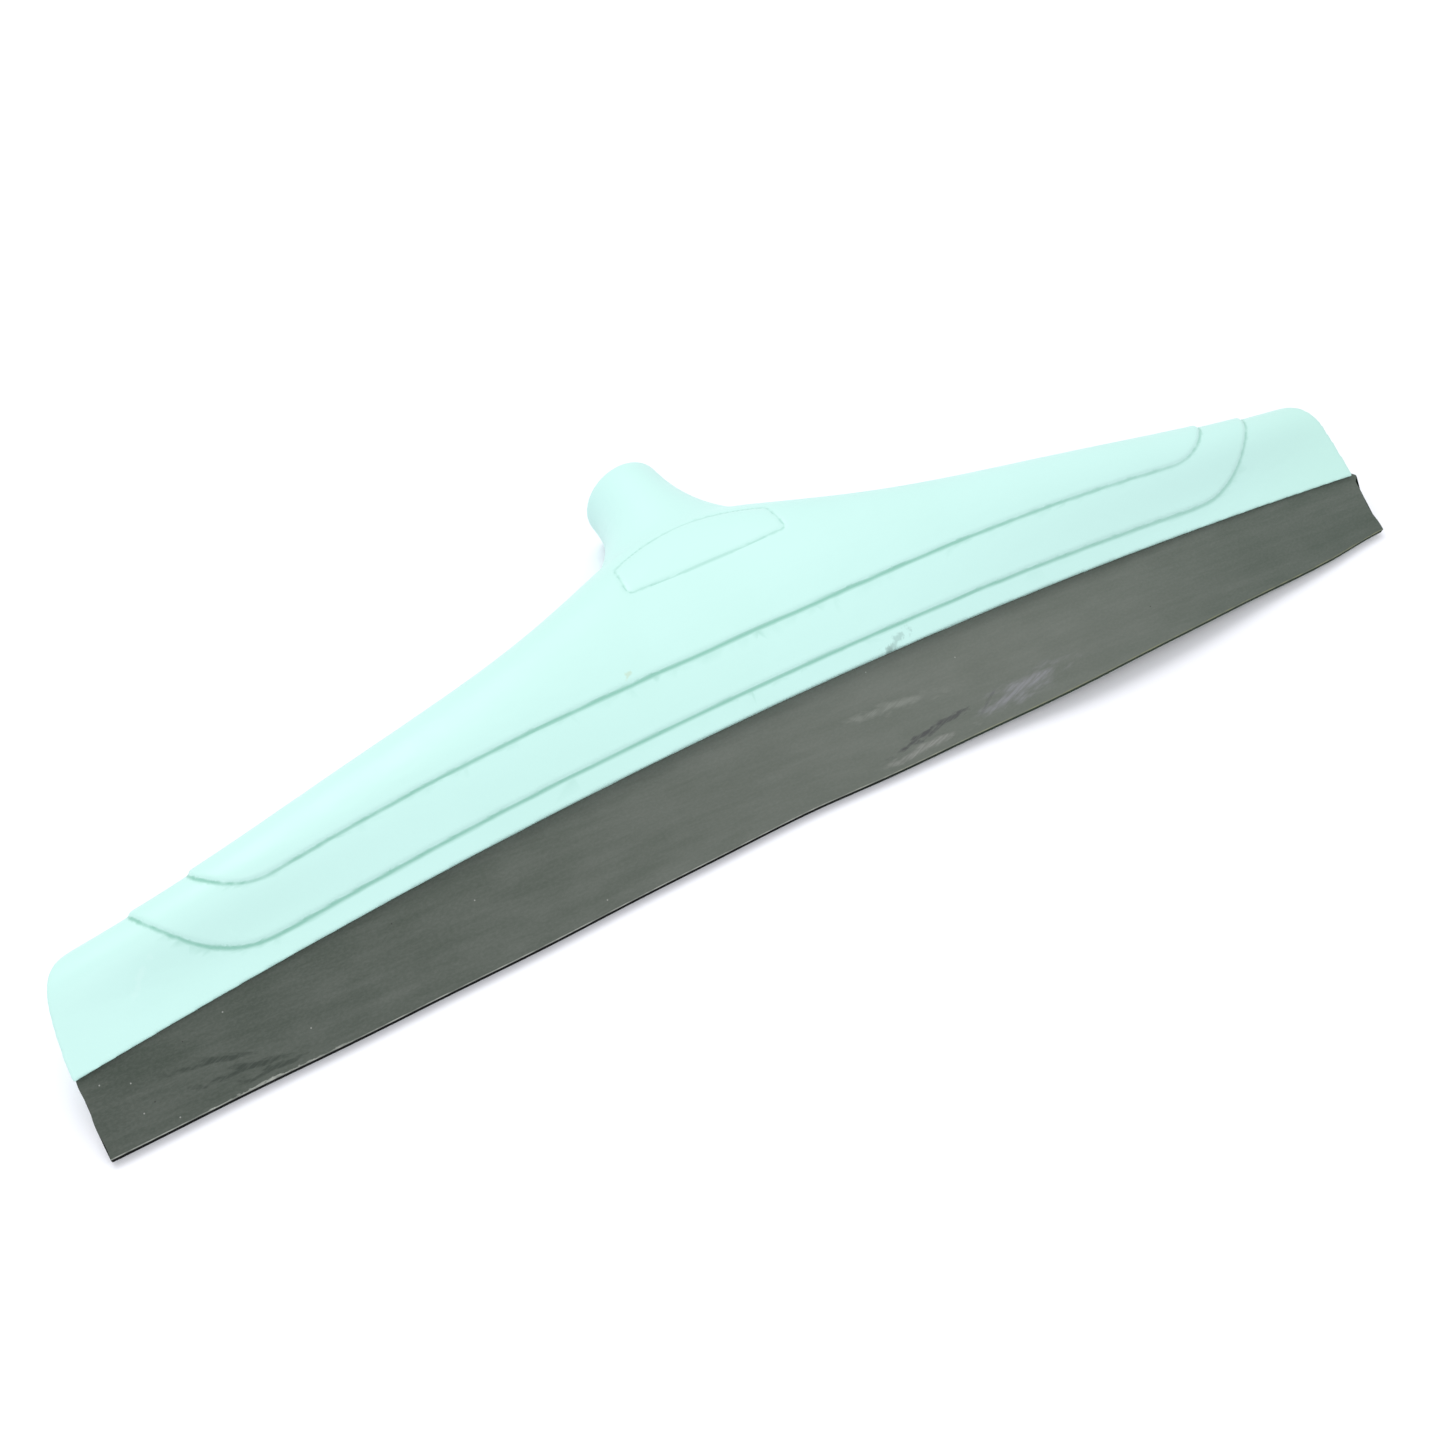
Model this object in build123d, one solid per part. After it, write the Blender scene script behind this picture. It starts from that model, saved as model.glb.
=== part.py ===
from build123d import *

import os
from math import cos, radians, sin

# Window squeegee head without its pole: a moulded shell with a handle socket, a rubber blade
# clamped under the shell by a bar, and the screws that hold the bar.
#
# The head lies as it does on a table, on the free edge of its blade and on the rim of its socket.
# X runs along the blade, Y from the free edge to the mouth of the socket, Z up. The parts are
# modelled with the free edge at Y = 0, and written with the origin in the table's plane, under the
# middle of the head. Lengths are millimetres, angles degrees.

# ---- driving dimensions ---------------------------------------------------------------------

HEAD_LENGTH = 440.0
HEAD_DEPTH = 132.5
HALF = HEAD_LENGTH / 2
WALL = 2.2

# Blade: a sheet that slopes up from the table, in a clamped root and a free lip
BLADE_TILT = 26.0
BLADE_THICKNESS = 2.6
BLADE_WIDTH = 43.0
BLADE_BEVEL = 1.2
LIP_WIDTH = 17.0
LIP_GAP = 0.3

# Shell, across the blade. A pair is the value at the ends, and how much more it is in the middle.
REAR_Y = (49.2, 53.8)
CREST_Y = (41.5, 33.5)
SHOULDER_SETBACK = (2.2, 8.0)
SHOULDER_DROP = (1.0, -0.6)
WALL_TOP_DROP = (7.0, 8.0)
SWELL_POWER = 1.6
CREST_HEIGHT = 36.3
CREST_SAG = 10.6
KNEE_Y = 33.0
KNEE_HEIGHT = 23.7
KNEE_SAG = 1.9
SAG_POWER = 3
SKIRT_START = 14.0
SKIRT_WALL = 1.3
SKIRT_FLOOR = -6.0
STATIONS = (-1, -0.88, -0.72, -0.5, -0.25, 0, 0.25, 0.5, 0.72, 0.88, 1)

# Fields that stand one STEP proud of the one before: half of the front edge's span, the front
# edge's Y at its ends and how far it bows back, the run of its corners, and where those end
STEP = 0.9
OUTER_FIELD = {"span": 158.5, "front": 29.8, "bow": 5.3, "corner": 32.5, "rear": 50.0}
INNER_FIELD = {"span": 155.0, "front": 41.3, "bow": 8.3, "corner": 18.0, "rear": 51.5}

# Lower edge of the shell in front: an arc over the blade, measured up the blade
EDGE_AT_ENDS = 21.8
EDGE_AT_MIDDLE = 34.0

# Where the hollow under the shell starts, measured up the blade
CAVITY_START = 45.0

# Lower rim of the rear wall, as (X, Z) from the middle to past the end
REAR_RIM = ((0, 3.0), (32, 3.4), (110, 8.5), (229, 12.5))

# Rounded rear corners, as (distance in from the end, Y), the slope at which they run into the
# rear wall, and how much further in the blade and the clamp bar lie there
CORNER = ((0.0, 15.0), (1.1, 31.2), (3.7, 41.2), (11.0, 48.8))
CORNER_SLOPE = 0.3
CORNER_TRIM = 0.4

# Blank label field: half widths, Y of its base, of its top corners and of its top
LABEL_BASE = 28.3
LABEL_TOP = 27.4
LABEL_Y = (74.2, 86.3, 92.8)
LABEL_CORNER_RADIUS = 2.5
LABEL_GROOVE_WIDTH = 1.2
LABEL_GROOVE_DEPTH = 0.5

# Handle socket: half its outside width and height at the mouth, its bore and its inner tube
SOCKET_WIDE = 13.7
SOCKET_TALL = 15.5
SOCKET_BORE_RADIUS = 11.2
SOCKET_DEPTH = 40.0
SOCKET_TUBE_RADIUS = 13.6
SOCKET_FLOOR = 2.2

# Its horn: how it widens, rises at its top and lifts at its bottom from the mouth to the shell,
# each with the power of the distance by which it does
HORN_LENGTH = 47.5
HORN_FLARE = (34.0, 2.7)
HORN_RISE = (6.8, 0.7)
HORN_FOOT = (5.0, 1.8)
HORN_RINGS = 12

# Ribs stand in the middle of each bay of the shell, screws between bays
BAY = HEAD_LENGTH / 12
RIB_BAYS = range(-6, 6)
RIB_THICKNESS = 1.6
RIB_RECESS = 3.0
SCREW_BAYS = (-4, -2, 0, 2, 4)
SCREW_LINE = 48.4
BOSS_RADIUS = 3.8
PILOT_RADIUS = 1.45
PILOT_END = 3.6

# Clamp bar, its pegs and its ears
BAR_THICKNESS = 3.0
BAR_START = 15.0
BAR_TOP = 44.2
BAR_SETBACK = 0.8
STIFFENER_HEIGHT = 3.2
STIFFENER_WIDTH = 2.0
PEG_LINE = 39.0
PEG_RADIUS = 1.5
PEG_REACH = 1.1
EAR_RADIUS = 5.0
EAR_ROOM = 1.0
CLEARANCE = 0.15

# Screws; the length is under the head
SCREW_RADIUS = 1.4
SCREW_LENGTH = 8.0
SCREW_HOLE_GAP = 0.25
SCREW_HEAD_RADIUS = 3.3
SCREW_HEAD_HEIGHT = 1.9
SCREW_HEAD_ROUND = 1.14
RECESS_LENGTH = 3.4
RECESS_WIDTH = 0.8
RECESS_DEPTH = 1.1

# How far cutting shapes run past what they cut
OVER = 1.0
PAST = 9.0
FAR = 80.0

# Plane of the blade's front face: x along the blade, y up the slope, z out of the front face
BLADE_LIFT = BLADE_THICKNESS * cos(radians(BLADE_TILT)) + BLADE_BEVEL * sin(radians(BLADE_TILT))
BLADE = Plane(
    origin=(0, 0, BLADE_LIFT),
    x_dir=(1, 0, 0),
    z_dir=(0, -sin(radians(BLADE_TILT)), cos(radians(BLADE_TILT))),
)


# ---- helpers --------------------------------------------------------------------------------


def blade_point(up, out):
    """(Y, Z) of a point that far up the blade's slope and that far out of its front face."""
    point = BLADE.from_local_coords((0, up, out))
    return point.Y, point.Z


def blade_box(x, up, out):
    """A box in the blade's plane, from three (low, high) pairs."""
    centre = [(low + high) / 2 for low, high in (x, up, out)]
    size = [high - low for low, high in (x, up, out)]
    return BLADE * Pos(*centre) * Box(*size)


def across_blade(x, up, radius, out):
    """A round pin or hole square to the blade, from out[0] to out[1]."""
    return BLADE * Pos(x, up, (out[0] + out[1]) / 2) * Cylinder(radius, out[1] - out[0])


def along_socket(radius, start, end):
    """A cylinder on the socket's axis."""
    axis = Plane(origin=(0, (start + end) / 2, SOCKET_TALL), z_dir=(0, 1, 0))
    return axis * Cylinder(radius, end - start)


def screw_places():
    """Distances along the blade of the clamp screws."""
    return [bay * BAY for bay in SCREW_BAYS]


def rib_places():
    """Distances along the blade of the ribs and of the clamp bar's pegs."""
    return [(bay + 0.5) * BAY for bay in RIB_BAYS]


# ---- shell ----------------------------------------------------------------------------------


def section(x, level, inset=0.0):
    """The shell's outline in a plane across the blade at x, standing level steps proud and
    drawn in by inset. It rises from the blade over a crest and rounds over to the rear wall."""
    end = min(abs(x) / HALF, 1.0)
    spread = (1 - end) ** SWELL_POWER
    sag = end**SAG_POWER
    lift = level * STEP - inset

    def grown(pair):
        return pair[0] + pair[1] * spread

    rear = grown(REAR_Y) + lift / 2
    crest_z = CREST_HEIGHT - CREST_SAG * sag + lift
    low = blade_point(SKIRT_START, SKIRT_WALL + lift)
    knee = (KNEE_Y, KNEE_HEIGHT - KNEE_SAG * sag + lift)
    crest = (grown(CREST_Y), crest_z)
    shoulder = (rear - grown(SHOULDER_SETBACK), crest_z - grown(SHOULDER_DROP))
    wall_top = (rear, crest_z - grown(WALL_TOP_DROP))
    up_slope = (cos(radians(BLADE_TILT)), sin(radians(BLADE_TILT)))
    floor = SKIRT_FLOOR - level
    plane = Plane(origin=(x, 0, 0), x_dir=(0, 1, 0), z_dir=(1, 0, 0))
    with BuildSketch(plane) as sketch:
        with BuildLine():
            Spline(low, knee, crest, shoulder, wall_top, tangents=[up_slope, (0, -1)])
            Polyline(wall_top, (rear, floor), (low[0], floor), low)
        make_face()
    return sketch.sketch


def shell_body(level, inset=0.0, half=HALF):
    """The shell without its socket, as one solid, lofted from end to end."""
    return loft([section(half * station, level, inset) for station in STATIONS])


def field(span, front, bow, corner, rear):
    """An upright prism over a raised field: a long arc in front, rounded up to the rear edge."""
    side = span + corner
    beyond = HEAD_DEPTH + FAR
    with BuildSketch() as sketch:
        with BuildLine():
            ThreePointArc((-span, front), (0, front + bow), (span, front))
            TangentArc((span, front), (side, rear), tangent=(1, -0.05))
            Polyline((side, rear), (side, beyond), (-side, beyond), (-side, rear))
            TangentArc((-span, front), (-side, rear), tangent=(-1, -0.05))
        make_face()
    return extrude(sketch.sketch, amount=FAR)


def horn():
    """The handle socket's outside: a slightly tall oval at its mouth, flaring into the shell."""
    rings = []
    for ring in range(HORN_RINGS + 1):
        share = 1 - ring / HORN_RINGS
        flare, rise, foot = (by * share**power for by, power in (HORN_FLARE, HORN_RISE, HORN_FOOT))
        top = 2 * SOCKET_TALL + rise
        centre = (0, HEAD_DEPTH - HORN_LENGTH * share, (top + foot) / 2)
        plane = Plane(origin=centre, x_dir=(1, 0, 0), z_dir=(0, 1, 0))
        rings.append(plane * Ellipse(SOCKET_WIDE + flare, (top - foot) / 2))
    return loft(rings)


def lower_edge_cut(setback=0.0):
    """What lies below the arched lower edge of the shell, as a prism square to the blade."""
    ends = EDGE_AT_ENDS + setback
    middle = EDGE_AT_MIDDLE + setback
    side = HALF + PAST
    with BuildSketch(BLADE) as sketch:
        with BuildLine():
            ThreePointArc((-HALF, ends), (0, middle), (HALF, ends))
            Polyline((HALF, ends), (side, ends), (side, -FAR), (-side, -FAR))
            Polyline((-side, -FAR), (-side, ends), (-HALF, ends))
        make_face()
    return extrude(sketch.sketch, amount=FAR, both=True)


def underside_cut(recess=0.0):
    """What lies below the lower rim of the rear wall, which dips towards the socket."""
    right = [(x, z + recess) for x, z in REAR_RIM]
    left = [(-x, z) for x, z in reversed(right[1:])]
    side, height = right[-1]
    with BuildSketch(Plane.XZ) as sketch:
        with BuildLine():
            Spline(*left, *right)
            Polyline((side, height), (side, -FAR), (-side, -FAR), (-side, height))
        make_face()
    return extrude(sketch.sketch, amount=-HEAD_DEPTH - FAR)


def corner_cuts(trim=0.0):
    """What lies outside the rounded rear corners of the shell, drawn in by trim, as upright
    prisms."""
    curve = [(HALF - trim - inward, y - trim) for inward, y in CORNER]
    start, stop = curve[0], curve[-1]
    side = HALF + PAST
    beyond = stop[1] + PAST
    leaving = (stop[0] - PAST, stop[1] + PAST * CORNER_SLOPE)
    with BuildSketch() as sketch:
        with BuildLine():
            Spline(*curve, tangents=[(0, 1), (-1, CORNER_SLOPE)])
            Polyline(stop, leaving, (leaving[0], beyond), (side, beyond), (side, start[1]), start)
        make_face()
    right = extrude(sketch.sketch, amount=FAR)
    return right + right.mirror(Plane.YZ)


def label_groove(skin):
    """A shallow groove round a blank label field, sunk straight down into the skin."""
    base, corner, top = LABEL_Y
    right, left = (LABEL_TOP, corner), (-LABEL_TOP, corner)
    with BuildSketch() as sketch:
        with BuildLine():
            Polyline(left, (-LABEL_BASE, base), (LABEL_BASE, base), right)
            ThreePointArc(right, (0, top), left)
        make_face()
        fillet(sketch.vertices(), LABEL_CORNER_RADIUS)
    outline = sketch.sketch
    ring = outline - offset(outline, amount=-LABEL_GROOVE_WIDTH)
    return extrude(ring, amount=FAR) - Pos(0, 0, -LABEL_GROOVE_DEPTH) * skin


def shell_outside():
    """The shell and its socket as one solid body."""
    outside = shell_body(0)
    outside += shell_body(1) & field(**OUTER_FIELD)
    outside += shell_body(2) & field(**INNER_FIELD)
    outside -= lower_edge_cut() + corner_cuts()
    outside -= underside_cut()
    outside += horn()
    return outside - label_groove(outside)


def shell_cavity():
    """The hollow under the shell, less its ribs, its screw bosses and the socket's tube."""
    cavity = shell_body(0, WALL, HALF - WALL)
    cavity &= blade_box((-HALF, HALF), (CAVITY_START, 2 * FAR), (-FAR, FAR))
    cavity -= corner_cuts(WALL)
    rib_zone = Pos(0, HEAD_DEPTH / 2, FAR / 2) * Box(HEAD_LENGTH, HEAD_DEPTH, 2 * FAR)
    rib_zone -= underside_cut(RIB_RECESS)
    for x in rib_places():
        rib = Pos(x, HEAD_DEPTH / 2, 0) * Box(RIB_THICKNESS, HEAD_DEPTH, 2 * FAR)
        cavity -= rib & rib_zone
    for x in screw_places():
        cavity -= across_blade(x, SCREW_LINE, BOSS_RADIUS, (-BLADE_THICKNESS, FAR / 2))
    tube_start = HEAD_DEPTH - SOCKET_DEPTH - SOCKET_FLOOR
    return cavity - along_socket(SOCKET_TUBE_RADIUS, tube_start, HEAD_DEPTH)


def head_shell():
    """The moulded shell: skin, socket, rear wall, ribs, screw bosses and peg holes."""
    shell = shell_outside() - shell_cavity()
    back = -BLADE_THICKNESS
    shell -= blade_box((-HALF, HALF), (-FAR, BLADE_WIDTH + CLEARANCE), (-FAR, 0))
    shell -= blade_box((-HALF, HALF), (-FAR, BAR_TOP + CLEARANCE), (-FAR, back))
    for x in screw_places():
        room = EAR_RADIUS + EAR_ROOM
        shell -= blade_box((x - room, x + room), (PEG_LINE, SCREW_LINE + room), (-FAR, back))
        shell -= across_blade(x, SCREW_LINE, PILOT_RADIUS, (back - OVER, PILOT_END))
    for x in rib_places():
        shell -= across_blade(x, PEG_LINE, PEG_RADIUS + CLEARANCE, (-OVER, PEG_REACH + CLEARANCE))
    return shell - along_socket(SOCKET_BORE_RADIUS, HEAD_DEPTH - SOCKET_DEPTH, HEAD_DEPTH + OVER)


# ---- blade ----------------------------------------------------------------------------------


def blade_strip(low, high, bevel=0.0):
    """A strip of the blade as long as the head, from low to high up the slope. The low edge's
    back corner stands bevel further down."""
    back = -BLADE_THICKNESS
    outline = [(low, 0), (high, 0), (high, back), (low - bevel, back)]
    points = [blade_point(up, out) for up, out in outline]
    plane = Plane(origin=(-HALF, 0, 0), x_dir=(0, 1, 0), z_dir=(1, 0, 0))
    return extrude(plane * make_face(Polyline(*points, close=True)), amount=HEAD_LENGTH)


def flex_line(radius):
    """A round bar along the line about which the free lip bends."""
    middle = Pos(0, LIP_WIDTH, -BLADE_THICKNESS / 2)
    return BLADE * middle * Rot(0, 90, 0) * Cylinder(radius, HEAD_LENGTH)


def blade_root():
    """The clamped part of the blade, with a round nose at the flex line and holes for pegs."""
    root = blade_strip(LIP_WIDTH, BLADE_WIDTH) + flex_line(BLADE_THICKNESS / 2)
    for x in rib_places():
        root -= across_blade(x, PEG_LINE, PEG_RADIUS + CLEARANCE, (-BLADE_THICKNESS - OVER, OVER))
    return root - corner_cuts(CORNER_TRIM)


def blade_lip():
    """The free part of the blade, hollowed along the flex line to turn round the root's nose."""
    return blade_strip(0, LIP_WIDTH, BLADE_BEVEL) - flex_line(BLADE_THICKNESS / 2 + LIP_GAP)


# ---- clamp bar and screws -------------------------------------------------------------------


def clamp_bar():
    """The bar behind the blade: plate, stiffener, an ear at each screw and a peg at each rib."""
    face = -BLADE_THICKNESS
    back = face - BAR_THICKNESS
    length = (-HALF + CLEARANCE, HALF - CLEARANCE)
    bar = blade_box(length, (BAR_START, BAR_TOP), (back, face))
    stiffener = (BAR_TOP - STIFFENER_WIDTH, BAR_TOP)
    bar += blade_box(length, stiffener, (back - STIFFENER_HEIGHT, back))
    for x in screw_places():
        ear = (x - EAR_RADIUS, x + EAR_RADIUS)
        bar += blade_box(ear, (PEG_LINE, SCREW_LINE), (back, face))
        bar += across_blade(x, SCREW_LINE, EAR_RADIUS, (back, face))
        bar -= blade_box(ear, (PEG_LINE, BAR_TOP + PAST), (-FAR, back))
        bar -= across_blade(x, SCREW_LINE, SCREW_RADIUS + SCREW_HOLE_GAP, (back - OVER, face + OVER))
    for x in rib_places():
        bar += across_blade(x, PEG_LINE, PEG_RADIUS, (back, PEG_REACH))
    return bar - lower_edge_cut(BAR_SETBACK) - corner_cuts(CORNER_TRIM)


def clamp_screws():
    """Cross-recessed pan-head screws, driven from behind through the bar into the bosses."""
    under_head = -BLADE_THICKNESS - BAR_THICKNESS
    top = under_head - SCREW_HEAD_HEIGHT
    screws = []
    for x in screw_places():
        head = across_blade(x, SCREW_LINE, SCREW_HEAD_RADIUS, (top, under_head))
        outer_rim = head.edges().filter_by(GeomType.CIRCLE).sort_by(Axis.Z)[0]
        head = fillet(outer_rim, SCREW_HEAD_ROUND)
        for wide, tall in ((RECESS_LENGTH, RECESS_WIDTH), (RECESS_WIDTH, RECESS_LENGTH)):
            slot_x = (x - wide / 2, x + wide / 2)
            slot_up = (SCREW_LINE - tall / 2, SCREW_LINE + tall / 2)
            head -= blade_box(slot_x, slot_up, (top - OVER, top + RECESS_DEPTH))
        shank = across_blade(x, SCREW_LINE, SCREW_RADIUS, (under_head, under_head + SCREW_LENGTH))
        screws.append(head + shank)
    return screws


# ---- writing --------------------------------------------------------------------------------

to_origin = Pos(0, -HEAD_DEPTH / 2, 0)
parts = {
    "head_shell": [head_shell()],
    "clamp_bar": [clamp_bar()],
    "blade_root": [blade_root()],
    "blade_lip": [blade_lip()],
    "clamp_screws": clamp_screws(),
}
os.makedirs("parts", exist_ok=True)
for name, shapes in parts.items():
    solids = [to_origin * solid for shape in shapes for solid in shape.solids()]
    node = Compound(label=name, children=solids)
    export_step(node, f"parts/{name}.step")
    print(name, len(solids), "solids", round(node.volume), "mm3")
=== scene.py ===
import math

import bpy
import numpy as np
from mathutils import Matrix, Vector


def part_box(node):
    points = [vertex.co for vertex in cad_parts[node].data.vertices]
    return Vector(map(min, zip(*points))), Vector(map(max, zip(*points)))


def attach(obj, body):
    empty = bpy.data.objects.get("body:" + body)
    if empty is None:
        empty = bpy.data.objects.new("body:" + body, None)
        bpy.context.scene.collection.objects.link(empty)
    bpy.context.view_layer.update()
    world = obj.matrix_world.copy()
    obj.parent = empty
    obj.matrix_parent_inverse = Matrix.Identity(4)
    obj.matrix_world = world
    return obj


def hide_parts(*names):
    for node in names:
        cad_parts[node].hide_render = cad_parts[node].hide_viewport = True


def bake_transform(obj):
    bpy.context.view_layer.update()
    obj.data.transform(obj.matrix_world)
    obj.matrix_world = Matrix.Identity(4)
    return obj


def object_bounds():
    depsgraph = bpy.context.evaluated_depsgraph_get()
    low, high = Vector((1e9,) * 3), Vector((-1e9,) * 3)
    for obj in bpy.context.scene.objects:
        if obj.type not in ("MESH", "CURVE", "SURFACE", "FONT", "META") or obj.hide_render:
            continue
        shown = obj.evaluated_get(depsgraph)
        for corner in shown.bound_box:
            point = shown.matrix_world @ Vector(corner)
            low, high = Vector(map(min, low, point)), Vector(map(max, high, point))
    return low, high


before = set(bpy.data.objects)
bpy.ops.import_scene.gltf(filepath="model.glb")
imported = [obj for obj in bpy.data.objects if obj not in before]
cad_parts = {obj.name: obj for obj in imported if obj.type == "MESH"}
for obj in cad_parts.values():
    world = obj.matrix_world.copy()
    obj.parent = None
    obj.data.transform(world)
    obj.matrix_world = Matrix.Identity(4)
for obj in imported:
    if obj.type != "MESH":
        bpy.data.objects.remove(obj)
cad_low, cad_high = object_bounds()

# Window squeegee head, lying on a table on its blade's free edge and its socket's rim. X runs
# along the blade, +Y points from the free edge to the socket's mouth. Lengths are metres.

MM = 0.001
HALF = (cad_high.x - cad_low.x) / 2

# The blade's sheet, as its CAD solids have it: "up" runs up the slope from the free edge, and
# "out" stands out of the front face
BLADE_TILT = math.radians(26)
BLADE_THICKNESS = 2.6 * MM
BLADE_WIDTH = 43.0 * MM
BLADE_BEVEL = 1.2 * MM
CUT_SLANT = 0.55 * MM
FREE_EDGE_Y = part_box("blade_lip")[0].y
BLADE_LIFT = BLADE_THICKNESS * math.cos(BLADE_TILT) + BLADE_BEVEL * math.sin(BLADE_TILT)

# The shell's lower edge over the blade, measured up the slope
EDGE_AT_ENDS = 21.8 * MM
EDGE_AT_MIDDLE = 34.0 * MM


# ---- camera, light and floor ----------------------------------------------------------------


def link(thing):
    bpy.context.scene.collection.objects.link(thing)
    return thing


def aim(thing, place, target):
    """Puts a camera or lamp at place, looking at target with its top up."""
    thing.location = place
    thing.rotation_mode = "QUATERNION"
    thing.rotation_quaternion = (Vector(target) - Vector(place)).to_track_quat("-Z", "Y")


def make_camera():
    """The camera stands in front of the head and to its left, and looks down on it."""
    target = Vector((-12.8 * MM, -21.5 * MM, 0))
    distance = 501.4 * MM
    pitch, heading = math.radians(52.32), math.radians(30.34)
    level = Vector((math.sin(heading), math.cos(heading), 0))
    forward = level * math.cos(pitch) - Vector((0, 0, math.sin(pitch)))
    data = bpy.data.cameras.new("camera")
    data.sensor_width = 36
    data.lens = 40.36
    data.clip_start = 0.01
    camera = link(bpy.data.objects.new("camera", data))
    aim(camera, target - forward * distance, target)
    bpy.context.scene.camera = camera


def softbox(name, place, size, power):
    """A round soft lamp that looks at the middle of the head."""
    data = bpy.data.lights.new(name, "AREA")
    data.shape = "DISK"
    data.size = size
    data.energy = power
    aim(link(bpy.data.objects.new(name, data)), place, (0, 0, 0))


def make_studio():
    """A white table under an even white sky, with soft lamps from behind, above and in front."""
    scene = bpy.context.scene
    scene.view_settings.view_transform = "Standard"
    world = bpy.data.worlds.new("studio")
    scene.world = world
    world.use_nodes = True
    sky = world.node_tree.nodes["Background"].inputs
    sky["Color"].default_value = (1, 1, 1, 1)
    sky["Strength"].default_value = 0.87
    softbox("window", place=(-0.1, 0.50, 1.15), size=0.8, power=5.5)
    softbox("front_fill", place=(-0.55, -0.75, 1.05), size=0.9, power=3.0)

    side = 60
    corners = [(-side, -side, 0), (side, -side, 0), (side, side, 0), (-side, side, 0)]
    mesh = bpy.data.meshes.new("table")
    mesh.from_pydata(corners, [], [(0, 1, 2, 3)])
    table = link(bpy.data.objects.new("table", mesh))
    paint = Paint("table_white")
    paint.shader["Base Color"].default_value = (0.905, 0.915, 0.965, 1)
    paint.shader["Roughness"].default_value = 0.8
    paint.shader["Specular IOR Level"].default_value = 0.1
    mesh.materials.append(paint.material)


# ---- materials ------------------------------------------------------------------------------


class Paint:
    """A material, with short ways to add nodes that work on plain numbers and sockets."""

    def __init__(self, name):
        self.material = bpy.data.materials.new(name)
        self.material.use_nodes = True
        self.tree = self.material.node_tree
        self.shader = self.tree.nodes["Principled BSDF"].inputs

    def put(self, value, socket):
        """Links a socket, or sets a number or colour, on an input."""
        if isinstance(value, bpy.types.NodeSocket):
            self.tree.links.new(value, socket)
        else:
            socket.default_value = value

    def math(self, operation, *values):
        node = self.tree.nodes.new("ShaderNodeMath")
        node.operation = operation
        for value, socket in zip(values, node.inputs):
            self.put(value, socket)
        return node.outputs[0]

    def ramp(self, value, low, high, to_low=0.0, to_high=1.0):
        """Eases from to_low to to_high as value goes from low to high."""
        node = self.tree.nodes.new("ShaderNodeMapRange")
        node.interpolation_type = "SMOOTHSTEP"
        for number, socket in zip((value, low, high, to_low, to_high), node.inputs):
            self.put(number, socket)
        return node.outputs[0]

    def mix(self, share, first, second):
        node = self.tree.nodes.new("ShaderNodeMix")
        node.data_type = "RGBA"
        self.put(share, node.inputs["Factor"])
        self.put(first, node.inputs[6])
        self.put(second, node.inputs[7])
        return node.outputs[2]

    def join(self, x, y, z=0.0):
        node = self.tree.nodes.new("ShaderNodeCombineXYZ")
        for value, socket in zip((x, y, z), node.inputs):
            self.put(value, socket)
        return node.outputs[0]

    def noise(self, vector, scale, detail=3.0, roughness=0.5):
        node = self.tree.nodes.new("ShaderNodeTexNoise")
        node.inputs["Scale"].default_value = scale
        node.inputs["Detail"].default_value = detail
        node.inputs["Roughness"].default_value = roughness
        self.tree.links.new(vector, node.inputs["Vector"])
        return node.outputs["Fac"]

    def position(self):
        """The point on the object, in metres."""
        return self.tree.nodes.new("ShaderNodeTexCoord").outputs["Object"]

    def split(self, vector):
        parts = self.tree.nodes.new("ShaderNodeSeparateXYZ")
        self.tree.links.new(vector, parts.inputs[0])
        return parts.outputs

    def bump(self, *layers):
        """Joins (height, distance in metres) layers into one normal for the shader."""
        normal = None
        for height, distance in layers:
            node = self.tree.nodes.new("ShaderNodeBump")
            node.inputs["Distance"].default_value = distance
            self.put(height, node.inputs["Height"])
            if normal is not None:
                self.tree.links.new(normal, node.inputs["Normal"])
            normal = node.outputs["Normal"]
        self.tree.links.new(normal, self.shader["Normal"])

    def spot(self, x, y, centre, length, width, angle=0.0, stroke=1.0, rag=0.75):
        """A soft oval mark on the plane of x and y: 1 inside, fading to 0 at its edge, which is
        ragged by rag. A small stroke draws its ragged parts out along its length."""
        turn = math.radians(angle)
        c, s = math.cos(turn), math.sin(turn)
        across = self.math("SUBTRACT", x, centre[0])
        along = self.math("SUBTRACT", y, centre[1])
        u = self.math("ADD", self.math("MULTIPLY", across, c), self.math("MULTIPLY", along, s))
        v = self.math("SUBTRACT", self.math("MULTIPLY", along, c), self.math("MULTIPLY", across, s))
        grain = 420.0
        ragged = self.noise(self.join(self.math("MULTIPLY", u, stroke), v), grain, 3.0, 0.55)
        u = self.math("DIVIDE", u, length)
        v = self.math("DIVIDE", v, width)
        square = self.math("ADD", self.math("MULTIPLY", u, u), self.math("MULTIPLY", v, v))
        reach = self.math("SQRT", square)
        reach = self.math("ADD", reach, self.ramp(ragged, 0.25, 0.75, -rag, rag))
        return self.ramp(reach, 0.1, 1.0, 1.0, 0.0)


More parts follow.
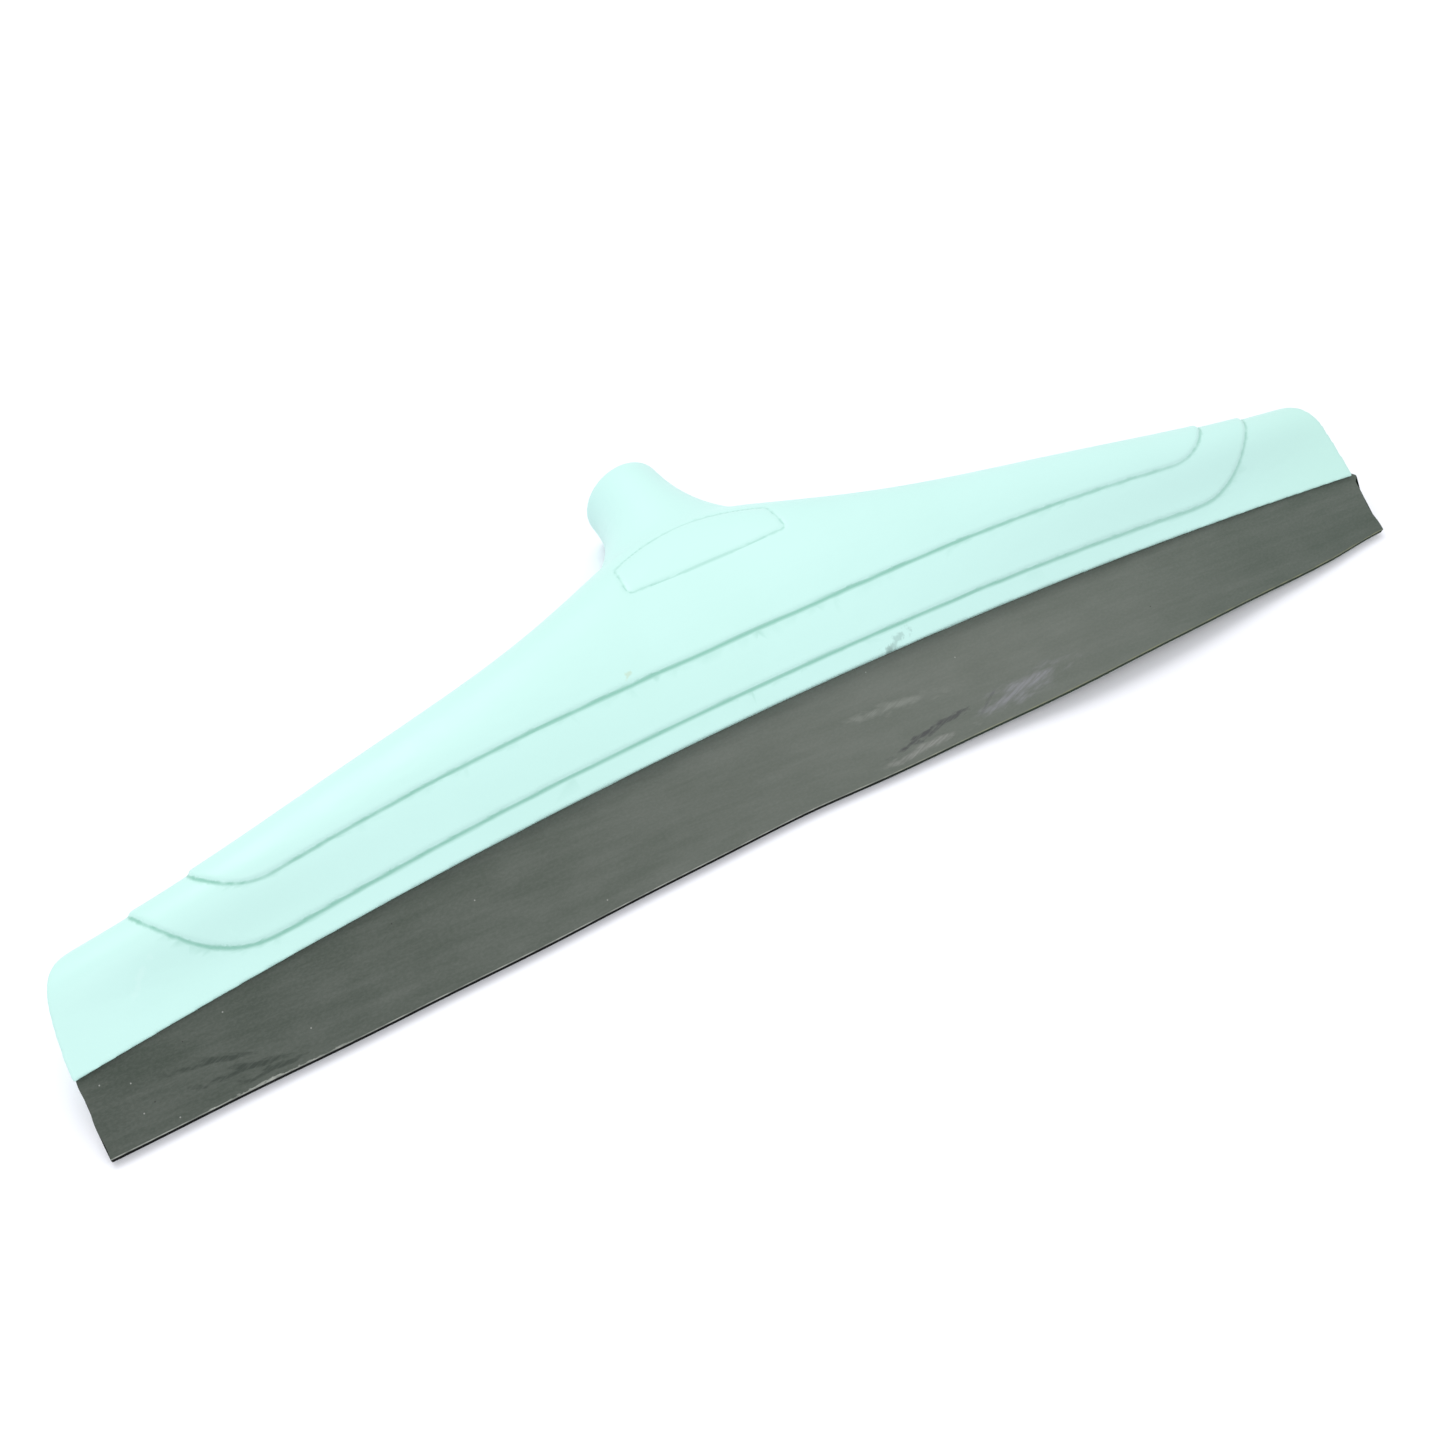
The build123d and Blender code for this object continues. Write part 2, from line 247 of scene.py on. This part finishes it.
def mint_plastic():
    """Pale mint polypropylene: satin, faintly cloudy, a little grubby where it was handled. Painted
    shade in its creases and at its right end.
    """
    paint = Paint("mint_plastic")
    place = paint.position()
    x, y, _ = paint.split(place)
    cloud = paint.ramp(paint.noise(place, 18.0, 2.0), 0.35, 0.65)
    colour = paint.mix(cloud, (0.505, 0.770, 0.725, 1), (0.515, 0.780, 0.740, 1))
    # painted shade: the right end is darker and greener, where its surface turns down
    right_end_shade = paint.ramp(x, 150 * MM, 222 * MM, 0.0, 0.5)
    colour = paint.mix(right_end_shade, colour, (0.485, 0.750, 0.685, 1))

    # painted shade in the creases, less of it behind and towards the right
    hollow = paint.tree.nodes.new("ShaderNodeAttribute")
    hollow.attribute_name = "hollow"
    crease_shade = paint.math("MULTIPLY", hollow.outputs["Fac"], paint.ramp(y, -5 * MM, 5 * MM, 1.0, 0.5))
    crease_shade = paint.math("MULTIPLY", crease_shade, paint.ramp(x, 50 * MM, 180 * MM, 1.0, 0.65))
    colour = paint.mix(crease_shade, colour, (0.250, 0.520, 0.435, 1))
    marks = (
        # centre, half length, half width, angle, tone, strength
        ((0.0405, -0.0358), 6.0 * MM, 1.8 * MM, 14, (0.20, 0.32, 0.30, 1), 0.40),
        ((0.0365, -0.0372), 3.0 * MM, 1.1 * MM, 14, (0.17, 0.26, 0.24, 1), 0.45),
        ((-0.0408, -0.0155), 1.7 * MM, 1.2 * MM, 20, (0.46, 0.50, 0.30, 1), 0.38),
        ((-0.1950, -0.0330), 7.0 * MM, 1.2 * MM, 35, (0.60, 0.82, 0.79, 1), 0.25),
    )
    for centre, length, width, angle, tone, strength in marks:
        share = paint.spot(x, y, centre, length, width, angle)
        colour = paint.mix(paint.math("MULTIPLY", share, strength), colour, tone)
    paint.put(colour, paint.shader["Base Color"])
    fine = paint.noise(place, 1400.0, 2.0)
    handled = paint.noise(place, 60.0, 4.0)
    paint.put(paint.ramp(handled, 0.3, 0.7, 0.40, 0.50), paint.shader["Roughness"])
    paint.shader["IOR"].default_value = 1.49
    paint.bump((handled, 0.012 * MM), (fine, 0.008 * MM))
    return paint.material


def blade_rubber():
    """Grey-green sheet rubber with flow streaks along it, smudges and a painted highlight on its arris.
    The sheet's UV map holds metres: along the blade, and round its section from the arris."""
    paint = Paint("blade_rubber")
    sheet = paint.tree.nodes.new("ShaderNodeUVMap")
    sheet.uv_map = "sheet"
    x, up, _ = paint.split(sheet.outputs[0])

    def streaks(along, across, detail, lean=0.0):
        """Noise with its own scale along and across the sheet. A lean tilts its streaks."""
        leaning = paint.math("ADD", up, paint.math("MULTIPLY", x, lean))
        stretched = paint.join(paint.math("MULTIPLY", x, along), paint.math("MULTIPLY", leaning, across))
        return paint.noise(stretched, 1.0, detail, 0.6)

    # the sheet is darkest at its left end and palest, from wiping, right of its middle
    palest = 60 * MM
    left_tone, right_tone = (0.016, 0.030, 0.018, 1), (0.048, 0.068, 0.052, 1)
    wiped_tone = (0.099, 0.115, 0.097, 1)
    wiped = paint.mix(paint.ramp(x, -HALF, palest), left_tone, wiped_tone)
    wiped = paint.mix(paint.ramp(x, palest, 215 * MM), wiped, right_tone)
    flow = streaks(14.0, 260.0, 5.0)
    bands = streaks(5.0, 60.0, 3.0)
    cloud = streaks(45.0, 90.0, 5.0)
    grain = streaks(900.0, 1500.0, 3.0)
    brushed = streaks(22.0, 520.0, 4.0, lean=0.12)
    share = 0.0
    for texture, low, high, most in (
        (flow, 0.30, 0.70, 0.06), (bands, 0.30, 0.70, 0.06), (cloud, 0.35, 0.70, 0.09),
        (grain, 0.35, 0.70, 0.07), (brushed, 0.35, 0.70, 0.045),
    ):
        share = paint.math("ADD", share, paint.ramp(texture, low, high, 0.0, most))
    colour = paint.mix(share, wiped, (0.230, 0.240, 0.225, 1))
    marks = (
        # centre, half length, half width, angle, tone, strength, stroke, raggedness
        ((-0.1870, 11.0 * MM), 12 * MM, 1.7 * MM, -16, (0.010, 0.020, 0.013, 1), 0.75, 0.25, 0.9),
        ((-0.1800, 5.5 * MM), 13 * MM, 2.2 * MM, -10, (0.010, 0.020, 0.013, 1), 0.80, 0.25, 0.9),
        ((-0.1740, 2.4 * MM), 9 * MM, 1.4 * MM, -4, (0.010, 0.020, 0.013, 1), 0.75, 0.25, 0.9),
        ((0.0330, 6.4 * MM), 9 * MM, 1.1 * MM, 6, (0.040, 0.040, 0.046, 1), 0.75, 0.30, 1.1),
        ((0.0430, 7.2 * MM), 11 * MM, 1.6 * MM, 4, (0.044, 0.044, 0.050, 1), 0.70, 0.30, 1.1),
        ((0.0710, 6.9 * MM), 20 * MM, 3.8 * MM, 4, (0.215, 0.218, 0.238, 1), 0.80, 0.25, 0.45),
        ((0.0590, 7.6 * MM), 7 * MM, 0.7 * MM, 30, (0.060, 0.062, 0.066, 1), 0.45, 0.45, 0.6),
        ((0.0340, 3.0 * MM), 17 * MM, 1.8 * MM, 0, (0.225, 0.232, 0.218, 1), 0.85, 0.30, 0.5),
        ((0.0300, 18.6 * MM), 19 * MM, 2.4 * MM, -8, (0.195, 0.210, 0.190, 1), 0.75, 0.30, 0.5),
    )
    hatching = paint.ramp(streaks(130.0, 1500.0, 3.0, lean=-0.35), 0.34, 0.58, 0.40, 1.0)
    for centre, length, width, angle, tone, strength, stroke, rag in marks:
        spot = paint.spot(x, up, centre, length, width, angle, stroke, rag)
        share = paint.math("MULTIPLY", paint.math("MULTIPLY", spot, hatching), strength)
        colour = paint.mix(share, colour, tone)
    on_sheet = paint.join(x, up)
    # millimetres along the sheet from its middle, and up from its free edge
    pale_specks = (
        (-214.5, 18.5), (-207.5, 7), (-207.5, 15.5), (-200, 2), (-180, 22),
        (-161.5, 8), (-108, 20), (-74.5, 3.5), (28, 31.5), (56.5, 24),
    )
    dark_specks = ((-204, 8.5), (-192, 19.5), (-131, 24), (124, 12))
    for specks, tone in ((pale_specks, (0.34, 0.35, 0.33, 1)), (dark_specks, (0.010, 0.012, 0.010, 1))):
        nearest = 1.0
        for along, above in specks:
            gap = paint.tree.nodes.new("ShaderNodeVectorMath")
            gap.operation = "DISTANCE"
            paint.put(on_sheet, gap.inputs[0])
            gap.inputs[1].default_value = (along * MM, above * MM, 0)
            nearest = paint.math("MINIMUM", nearest, gap.outputs["Value"])
        colour = paint.mix(paint.ramp(nearest, 0.10 * MM, 0.28 * MM, 0.75, 0.0), colour, tone)

    # painted highlight along the arris: pale, ragged near the left end, and olive towards the right
    starting, ending = paint.ramp(x, -200 * MM, -180 * MM), paint.ramp(x, -165 * MM, -145 * MM, 1.0, 0.0)
    ragged_stretch = paint.math("MULTIPLY", starting, ending)
    ragged_width = paint.ramp(streaks(420.0, 900.0, 3.0), 0.45, 0.62, 0.0, 0.6 * MM)
    from_edge = paint.math("SUBTRACT", up, paint.math("MULTIPLY", ragged_stretch, ragged_width))
    highlight_breaks = paint.ramp(streaks(160.0, 500.0, 4.0), 0.40, 0.60, 0.25, 0.90)
    arris = paint.math("MULTIPLY", paint.ramp(from_edge, 0.12 * MM, 0.34 * MM, 1.0, 0.0), highlight_breaks)
    rightward = paint.ramp(x, -20 * MM, 90 * MM)
    arris_highlight_tone = paint.mix(rightward, (0.330, 0.350, 0.320, 1), (0.200, 0.210, 0.115, 1))
    colour = paint.mix(arris, colour, arris_highlight_tone)
    paint.put(colour, paint.shader["Base Color"])
    paint.put(paint.ramp(cloud, 0.25, 0.75, 0.38, 0.55), paint.shader["Roughness"])
    paint.shader["Specular IOR Level"].default_value = 0.40
    paint.bump((flow, 0.02 * MM), (cloud, 0.06 * MM), (grain, 0.02 * MM))
    return paint.material


def cut_rubber():
    """The blade's cut edge and ends: black and dull, greener towards the right, finely sawn."""
    paint = Paint("cut_rubber")
    x, y, z = paint.split(paint.position())
    saw = paint.noise(paint.join(paint.math("MULTIPLY", x, 4.0), y, z), 900.0, 4.0)
    black = paint.mix(saw, (0.003, 0.003, 0.004, 1), (0.014, 0.015, 0.014, 1))
    green = paint.mix(saw, (0.024, 0.036, 0.026, 1), (0.046, 0.062, 0.048, 1))
    rightward = paint.ramp(x, -20 * MM, 70 * MM)
    paint.put(paint.mix(rightward, black, green), paint.shader["Base Color"])
    paint.shader["Roughness"].default_value = 0.9
    paint.shader["Specular IOR Level"].default_value = 0.05
    paint.bump((saw, 0.03 * MM),)
    return paint.material


def zinc():
    """Zinc-plated steel with a fine turned grain."""
    paint = Paint("zinc_plate")
    grain = paint.noise(paint.position(), 2600.0, 3.0)
    tone = paint.ramp(grain, 0.3, 0.7)
    paint.put(paint.mix(tone, (0.56, 0.57, 0.58, 1), (0.70, 0.71, 0.72, 1)), paint.shader["Base Color"])
    paint.shader["Metallic"].default_value = 1.0
    paint.put(paint.ramp(grain, 0.3, 0.7, 0.24, 0.36), paint.shader["Roughness"])
    paint.bump((grain, 0.006 * MM),)
    return paint.material


def wear(piece, material):
    piece.data.materials.clear()
    piece.data.materials.append(material)


# ---- moulded pieces -------------------------------------------------------------------------

# Passes that blend a joint; passes that find the hollows, how deep one starts, and how much
# deeper it is a crease
JOINT_PASSES = 120
HOLLOW_PASSES = 10
HOLLOW_START, HOLLOW_RANGE = 0.026 * MM, 0.055 * MM


def eased(value):
    value = np.clip(value, 0, 1)
    return value * value * (3 - 2 * value)


def applied(piece):
    """Replaces a piece's mesh with the one its modifiers make."""
    graph = bpy.context.evaluated_depsgraph_get()
    mesh = bpy.data.meshes.new_from_object(piece.evaluated_get(graph))
    piece.modifiers.clear()
    piece.data = mesh
    return piece


def neighbours(mesh):
    """The mesh's vertex places, and the two ends of each of its edges."""
    places = np.empty(len(mesh.vertices) * 3)
    mesh.vertices.foreach_get("co", places)
    ends = np.empty(len(mesh.edges) * 2, int)
    mesh.edges.foreach_get("vertices", ends)
    return places.reshape(-1, 3), ends.reshape(-1, 2)


def relaxed(places, ends, passes, weight=1.0):
    """The places after each has moved, passes times, by its weight towards its neighbours."""
    a, b = ends.T
    count = len(places)
    degree = np.maximum(np.bincount(a, minlength=count) + np.bincount(b, minlength=count), 1)
    for _ in range(passes):
        middle = [np.bincount(a, places[b, axis], count) + np.bincount(b, places[a, axis], count)
                  for axis in range(3)]
        places = places + (np.stack(middle, 1) / degree[:, None] - places) * weight
    return places


def softened(node, name, voxel, passes, triangles, joint=None):
    """A copy of a CAD node with the small rounded edges and hollows that moulding leaves. joint
    gives each place's weight, 0 to 1, in a joint that is blended further. Each vertex stores, as
    hollow, how narrow a hollow it lies in: 0 on open faces, 1 in a crease."""
    piece = link(bpy.data.objects.new(name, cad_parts[node].data.copy()))
    grid = piece.modifiers.new("grid", "REMESH")
    grid.mode = "VOXEL"
    grid.voxel_size = voxel
    smooth = piece.modifiers.new("smooth", "SMOOTH")
    smooth.factor = 0.5
    smooth.iterations = passes
    applied(piece)
    mesh = piece.data
    places, ends = neighbours(mesh)
    if joint:
        weight = joint(*places.T)
        inner = ends[(weight[ends] > 0).any(1)]
        used, flat = np.unique(inner, return_inverse=True)
        places[used] = relaxed(places[used], flat.reshape(-1, 2), JOINT_PASSES, weight[used, None] / 2)
        mesh.vertices.foreach_set("co", places.ravel())
        mesh.update()
    normals = np.empty(len(places) * 3)
    mesh.vertices.foreach_get("normal", normals)
    depth = ((relaxed(places, ends, HOLLOW_PASSES) - places) * normals.reshape(-1, 3)).sum(1)
    hollow = np.clip((depth - HOLLOW_START) / HOLLOW_RANGE, 0, 1)
    mesh.attributes.new("hollow", "FLOAT", "POINT").data.foreach_set("value", hollow)
    thin = piece.modifiers.new("thin", "DECIMATE")
    thin.ratio = min(1.0, triangles / (2 * len(mesh.polygons)))
    applied(piece)
    piece.data.shade_smooth()
    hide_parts(node)
    return piece


def horn_joint(x, y, z):
    """Where the socket's horn runs into the top of the shell, behind the label."""
    half_width, side_fade = 46 * MM, 12 * MM
    front, front_fade = 27.6 * MM, 2 * MM
    rear, rear_fade = 40 * MM, 8 * MM
    floor, floor_fade = 24 * MM, 4 * MM
    across = 1 - eased((np.abs(x) - half_width) / side_fade)
    along = eased((y - front) / front_fade) * (1 - eased((y - rear) / rear_fade))
    return across * along * eased((z - floor) / floor_fade)


def make_shell(material):
    shell = softened("head_shell", "moulded_shell", voxel=0.5 * MM, passes=12, triangles=195000,
                     joint=horn_joint)
    wear(shell, material)
    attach(shell, "head")


def make_clamp_bar(material):
    bar = softened("clamp_bar", "moulded_clamp_bar", voxel=0.45 * MM, passes=4, triangles=90000)
    wear(bar, material)
    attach(bar, "head")


# ---- blade ----------------------------------------------------------------------------------

# The sheet's columns, how far it has crept to the right in the shell, and its arris
COLUMNS = 361
CREEP = 0.8 * MM
ARRIS = 0.18 * MM

# Its cut ends take shape over the last share of its half length. The rear corners are rounded off
# under the shell. The right end is drawn in between its corners, has a torn tab by the shell's rim
# and is tucked in above that. Both ends are a little wavy.
END_SHARE = 0.015
CORNER_TRIM, CORNER_START = 4.2 * MM, 16 * MM
WAIST, WAIST_TOP = 0.8 * MM, 21 * MM
TAB, TAB_UP, TAB_HALF = 1.6 * MM, 21.4 * MM, 1.1 * MM
TUCK, TUCK_START, TUCK_RUN = 1.3 * MM, 22.4 * MM, 2 * MM
WAVE, WAVE_LENGTH = 0.2 * MM, 1.9 * MM

# The sheet is worn thinner towards its free edge from here to the right
WORN, WORN_START, WORN_RUN, WORN_UP = 0.3, -20 * MM, 100 * MM, 15 * MM


def hump(x, centre, left, right):
    """A bell of height 1 at centre, with its own width on each side."""
    width = np.where(x < centre, left, right)
    return np.exp(-(((x - centre) / width) ** 2))


def blade_profile():
    """The sheet's outline as rows of (up, out, distance round the section from the arris), and
    which rows start a stretch of the cut edge."""
    # (from, to, rows), with the most rows where the sheet bends
    stretches = ((BLADE_WIDTH, 24 * MM, 14), (24 * MM, 10 * MM, 24), (10 * MM, 1 * MM, 14))
    ups = np.concatenate(
        [np.linspace(*stretch, endpoint=False) for stretch in stretches]
        + [np.linspace(1 * MM, ARRIS, 4)]
    )
    front = [(up, 0.0, up) for up in ups]
    front.append((0.25 * ARRIS, -0.05 * ARRIS, 0.25 * ARRIS))
    cut = []
    for share in (0.06, 0.3, 0.6, 0.95):
        cut.append((-CUT_SLANT * share, -BLADE_THICKNESS * share, -BLADE_THICKNESS * share))
    back = []
    for up in ups[::-1]:
        set_back = CUT_SLANT * max(0, 1 - up / (10 * MM))
        back.append((up - set_back, -BLADE_THICKNESS, -BLADE_THICKNESS - up))
    is_cut = np.zeros(len(front) + len(cut) + len(back), bool)
    is_cut[len(front):len(front) + len(cut)] = True
    return np.array(front + cut + back), is_cut


def with_cut_ends(x, up, end):
    """The X of points on the sheet once its ends are cut; end runs from -1 to 1 along it."""
    near_end = eased((np.abs(end) - 1 + END_SHARE) / END_SHARE)
    right = near_end * (end > 0)
    corner = np.clip((up - CORNER_START) / (BLADE_WIDTH - CORNER_START), 0, 1) ** 2
    x = x - np.sign(end) * near_end * CORNER_TRIM * corner
    x -= right * WAIST * np.sin(np.pi * np.clip(up / WAIST_TOP, 0, 1))
    x += right * TAB * hump(up, TAB_UP, TAB_HALF, TAB_HALF)
    x -= right * TUCK * eased((up - TUCK_START) / TUCK_RUN)
    return x + near_end * WAVE * np.sin(up / WAVE_LENGTH)


def buckling(x, up):
    """How far the sheet stands proud to the front, is lifted off the table and bellies out of its
    own plane. All three are 0 under the shell."""
    edge = EDGE_AT_ENDS + (EDGE_AT_MIDDLE - EDGE_AT_ENDS) * (1 - (x / HALF) ** 2)
    free = np.clip(1 - up / edge, 0, 1.1)
    slack = hump(x, 108 * MM, 50 * MM, 68 * MM) * (1 - 0.9 * eased((x - 180 * MM) / (40 * MM)))
    buckle = hump(x, 125 * MM, 55 * MM, 48 * MM)
    curl = hump(x, -12 * MM, 60 * MM, 30 * MM)
    right_corner = eased((x - 195 * MM) / (25 * MM))
    proud = (4.8 * slack - 1.2 * buckle - 1.3 * curl - 1.0 * right_corner) * MM
    lifted = (3.4 * slack + 1.8 * buckle) * MM
    belly = 1.4 * MM * slack * np.sin(np.pi * np.clip(free, 0, 1)) ** 2
    ripple = 0.18 * MM * free * np.sin(x / (13 * MM)) * np.sin(x / (31 * MM) + 1)
    return (proud + ripple) * free**1.6, lifted * free**1.8, belly


def sheet_mesh(places, round_section, is_cut):
    """A closed mesh of COLUMNS sections, with the cut edge and both ends in a second material and
    a UV map that holds metres along the sheet and round its section."""
    rows = len(is_cut)
    faces = []
    for column in range(COLUMNS - 1):
        here, there = column * rows, (column + 1) * rows
        for row in range(rows):
            following = (row + 1) % rows
            faces.append((here + row, here + following, there + following, there + row))
    faces.append(tuple(reversed(range(rows))))
    faces.append(tuple(range((COLUMNS - 1) * rows, COLUMNS * rows)))
    mesh = bpy.data.meshes.new("blade_sheet")
    mesh.from_pydata(places.tolist(), [], faces)

    layer = mesh.uv_layers.new(name="sheet")
    vertex = np.empty(len(mesh.loops), int)
    mesh.loops.foreach_get("vertex_index", vertex)
    metres = np.stack([places[vertex, 0], round_section[vertex]], 1)
    layer.data.foreach_set("uv", metres.astype(np.float32).ravel())

    slots = np.ones(len(faces), np.int32)
    slots[:-2] = np.tile(is_cut, COLUMNS - 1)
    mesh.polygons.foreach_set("material_index", slots)
    mesh.shade_smooth()
    mesh.update()
    return mesh


def make_blade(sheet_material, cut_material):
    """One continuous rubber sheet, clamped under the shell, whose right half has sagged out of
    line: its free edge stands proud and off the table there."""
    profile, is_cut = blade_profile()
    rows = len(profile)
    end = np.repeat(np.linspace(-1, 1, COLUMNS), rows)
    up, out, round_section = (np.tile(values, COLUMNS) for values in profile.T)
    x = with_cut_ends(end * HALF + CREEP, up, end)
    proud, lifted, belly = buckling(x, up)
    worn = WORN * eased((x - WORN_START) / WORN_RUN) * np.clip(1 - up / WORN_UP, 0, 1)
    out = out * (1 - worn) + belly
    y = FREE_EDGE_Y + up * math.cos(BLADE_TILT) - out * math.sin(BLADE_TILT) - proud
    z = BLADE_LIFT + up * math.sin(BLADE_TILT) + out * math.cos(BLADE_TILT) + lifted
    mesh = sheet_mesh(np.stack([x, y, np.maximum(z, 0)], 1), round_section, is_cut)
    mesh.materials.append(sheet_material)
    mesh.materials.append(cut_material)

    blade = link(bpy.data.objects.new("blade_sheet", mesh))
    sharp = blade.modifiers.new("ends", "EDGE_SPLIT")
    sharp.split_angle = math.radians(50)
    applied(blade)
    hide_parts("blade_root", "blade_lip")

    def on_sheet(distance):
        return (
            0,
            FREE_EDGE_Y + distance * math.cos(BLADE_TILT),
            BLADE_LIFT + distance * math.sin(BLADE_TILT),
        )

    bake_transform(blade)


def make_screws(material):
    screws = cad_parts["clamp_screws"]
    for slot in screws.material_slots:
        slot.material = material


make_camera()
make_studio()
mint = mint_plastic()
make_shell(mint)
make_clamp_bar(mint)
make_blade(blade_rubber(), cut_rubber())
make_screws(zinc())
